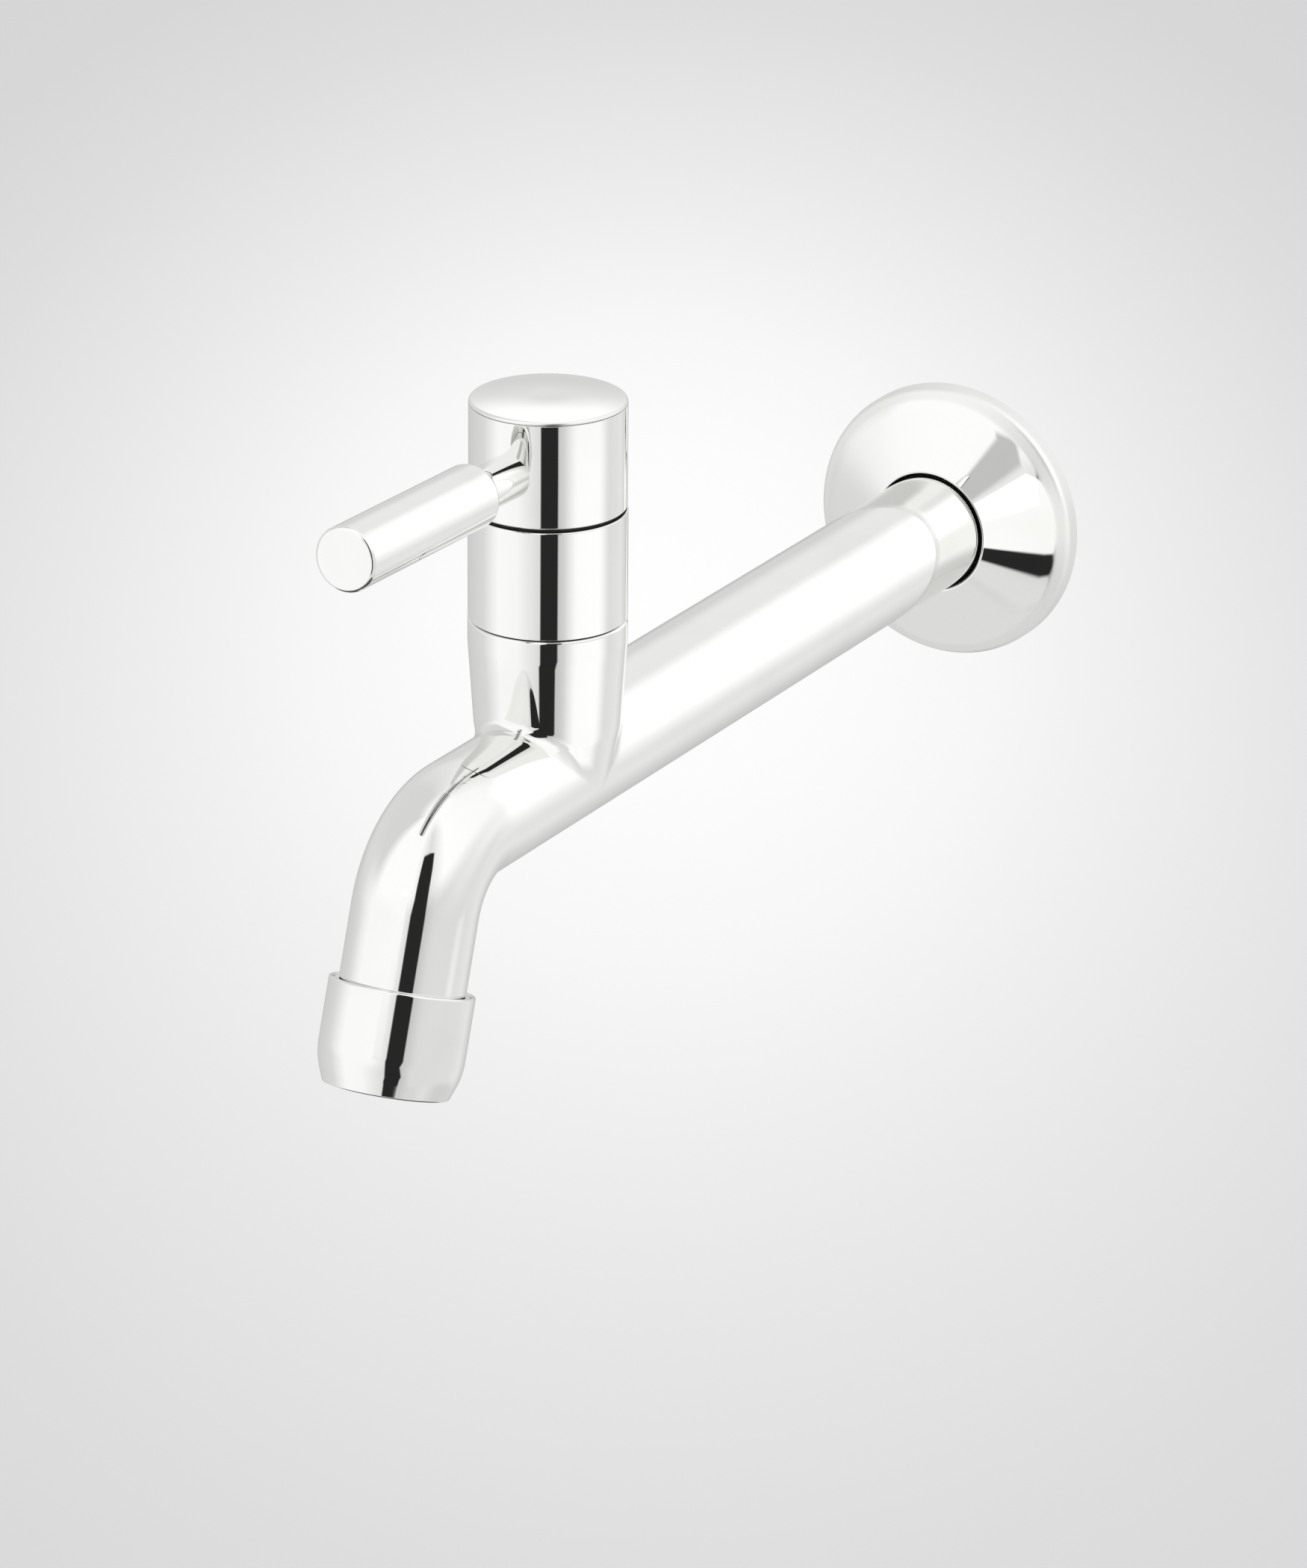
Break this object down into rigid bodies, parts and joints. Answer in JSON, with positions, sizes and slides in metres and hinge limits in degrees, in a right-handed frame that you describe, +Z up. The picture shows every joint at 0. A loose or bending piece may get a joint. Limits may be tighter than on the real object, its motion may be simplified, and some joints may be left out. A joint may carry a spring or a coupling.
{
  "type": "wall-mounted bib tap",
  "caption": "Wall-mounted long-barrel bib tap with a conical flange, an upright valve tower, a quarter-turn rod lever and a short bent spout with a nozzle sleeve.",
  "frame": {"origin": "centre of the flange's wall face, on the axis of the barrel and of the inlet thread", "axes": "+Y into the wall along the barrel, the spout reaches towards -Y; +Z up the valve tower; +X sideways"},
  "size_m": [0.0602, 0.2663, 0.1284],
  "materials": {
    "chrome_casting": "polished chrome plate on cast brass",
    "chrome_trim": "polished chrome plate on turned brass",
    "bare_brass": "machined brass",
    "stainless": "stainless steel",
    "black_rubber": "smooth nitrile rubber",
    "black_plastic": "moulded low-friction plastic",
    "white_plastic": "moulded acetal",
    "ceramic": "lapped alumina ceramic"
  },
  "bodies": {
    "tap": {"tap_body": "chrome_casting", "wall_flange": "chrome_trim", "flange_o_ring": "black_rubber", "seat_seal": "black_rubber", "fixed_disc": "ceramic", "cartridge_housing": "bare_brass", "housing_washer": "black_rubber", "glide_washer": "white_plastic", "bonnet_sleeve": "chrome_trim", "hub_glide_ring": "black_plastic", "nozzle_sleeve": "chrome_trim", "aerator_washer": "black_rubber", "aerator_body": "white_plastic", "aerator_screens": "stainless", "flow_straightener": "white_plastic"},
    "handle": {"handle_hub": "chrome_trim", "spline_insert": "white_plastic", "handle_screw": "stainless", "handle_top_cap": "chrome_trim", "top_cap_o_ring": "black_rubber", "lever_neck": "chrome_trim", "lever_rod": "chrome_trim", "cartridge_spindle": "bare_brass", "spindle_o_rings": "black_rubber", "spindle_circlip": "stainless", "moving_disc": "ceramic"}
  },
  "joints": [
    {"name": "handle_turn", "type": "hinge", "parent": "tap", "child": "handle", "pos_m": [0, -0.1755, 0.0649], "axis": [0, 0, 1], "range_deg": [0, 90]}
  ]
}
